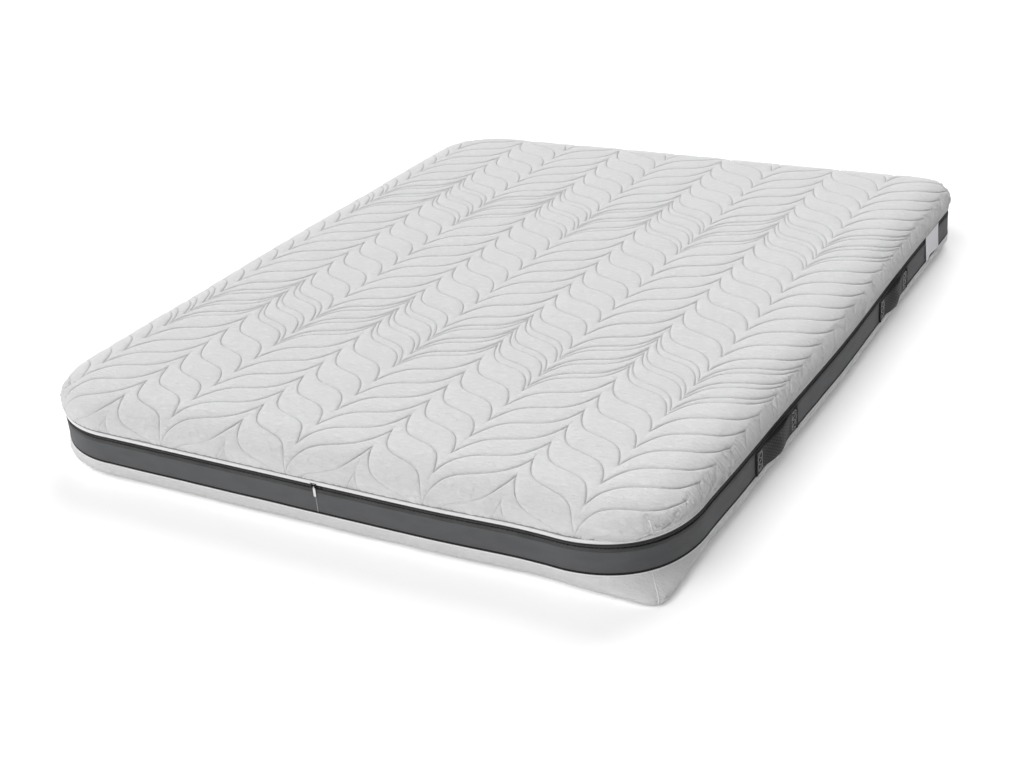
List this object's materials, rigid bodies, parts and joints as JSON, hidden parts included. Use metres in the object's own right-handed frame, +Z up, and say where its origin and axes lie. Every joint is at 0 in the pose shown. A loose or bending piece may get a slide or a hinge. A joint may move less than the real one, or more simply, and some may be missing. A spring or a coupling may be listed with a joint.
{
  "type": "memory foam mattress",
  "caption": "Memory foam mattress with a quilted zip-off top cover, dark border band with perimeter zip, fabric carry handles and layered foam inside.",
  "frame": {"origin": "centre of the flat underside, on the surface the mattress lies on", "axes": "+Z up, +X across the width, +Y along the length from the zip-slider end to the other end"},
  "size_m": [1.622, 2, 0.18],
  "materials": {
    "support_foam": "open-cell foam, cut surface",
    "memory_foam": "dense slow-recovery foam",
    "stockinette": "thin ribbed knit",
    "cover_knit": "white jacquard knit, quilted",
    "wadding": "polyester fibre wadding",
    "backing_cloth": "non-woven backing",
    "hem_tape": "folded knit hem",
    "band_mesh": "dark grey spacer mesh",
    "black_binding": "black edge binding",
    "seam_thread": "grey seam thread",
    "zip_tape": "woven zip tape",
    "zip_coil": "moulded nylon coil",
    "black_metal": "black enamel",
    "silver_metal": "bright cast pull",
    "handle_webbing": "black mesh webbing",
    "label_satin": "white satin label"
  },
  "bodies": {
    "mattress_base": {"support_core_foam": "support_foam", "memory_foam_layer": "memory_foam", "inner_sleeve": "stockinette", "bottom_cover_knit": "cover_knit", "bottom_cover_wadding": "wadding", "bottom_cover_backing": "backing_cloth", "border_band": "band_mesh", "border_lining": "wadding", "lower_band_binding": "black_binding", "upper_band_binding": "black_binding", "band_join_seam": "seam_thread", "lower_zip_tape": "zip_tape", "lower_zip_coil": "zip_coil", "lower_zip_stop": "black_metal", "handle_patches_front_right": "handle_webbing", "handle_patches_rear_right": "handle_webbing", "handle_patches_front_left": "handle_webbing", "handle_patches_rear_left": "handle_webbing"},
    "top_cover": {"top_cover_knit": "cover_knit", "top_cover_wadding": "wadding", "top_cover_backing": "backing_cloth", "top_cover_hem": "hem_tape", "upper_zip_tape": "zip_tape", "upper_zip_coil": "zip_coil", "upper_zip_stop": "black_metal", "care_label": "label_satin"},
    "slider": {"zip_slider": "black_metal"},
    "pull": {"zip_pull": "silver_metal"},
    "front_right_handle": {"handle_front_right": "handle_webbing"},
    "rear_right_handle": {"handle_rear_right": "handle_webbing"},
    "front_left_handle": {"handle_front_left": "handle_webbing"},
    "rear_left_handle": {"handle_rear_left": "handle_webbing"}
  },
  "joints": [
    {"name": "top_cover_lift", "type": "slide", "parent": "mattress_base", "child": "top_cover", "axis": [0, 0, 1], "range_m": [0, 0.2]},
    {"name": "zip_slide", "type": "slide", "parent": "mattress_base", "child": "slider", "axis": [-1, 0, 0], "range_m": [0, 0.55]},
    {"name": "pull_swing", "type": "hinge", "parent": "slider", "child": "pull", "pos_m": [0.03, -0.9982, 0.108], "axis": [-1, 0, 0], "range_deg": [0, 140]},
    {"name": "front_right_handle_lift", "type": "hinge", "parent": "mattress_base", "child": "front_right_handle", "pos_m": [0.7962, -0.425, 0.0992], "axis": [0, -1, 0], "range_deg": [0, 75]},
    {"name": "rear_right_handle_lift", "type": "hinge", "parent": "mattress_base", "child": "rear_right_handle", "pos_m": [0.7962, 0.375, 0.0992], "axis": [0, -1, 0], "range_deg": [0, 75]},
    {"name": "front_left_handle_lift", "type": "hinge", "parent": "mattress_base", "child": "front_left_handle", "pos_m": [-0.7962, -0.425, 0.0992], "axis": [0, 1, 0], "range_deg": [0, 75]},
    {"name": "rear_left_handle_lift", "type": "hinge", "parent": "mattress_base", "child": "rear_left_handle", "pos_m": [-0.7962, 0.375, 0.0992], "axis": [0, 1, 0], "range_deg": [0, 75]}
  ]
}
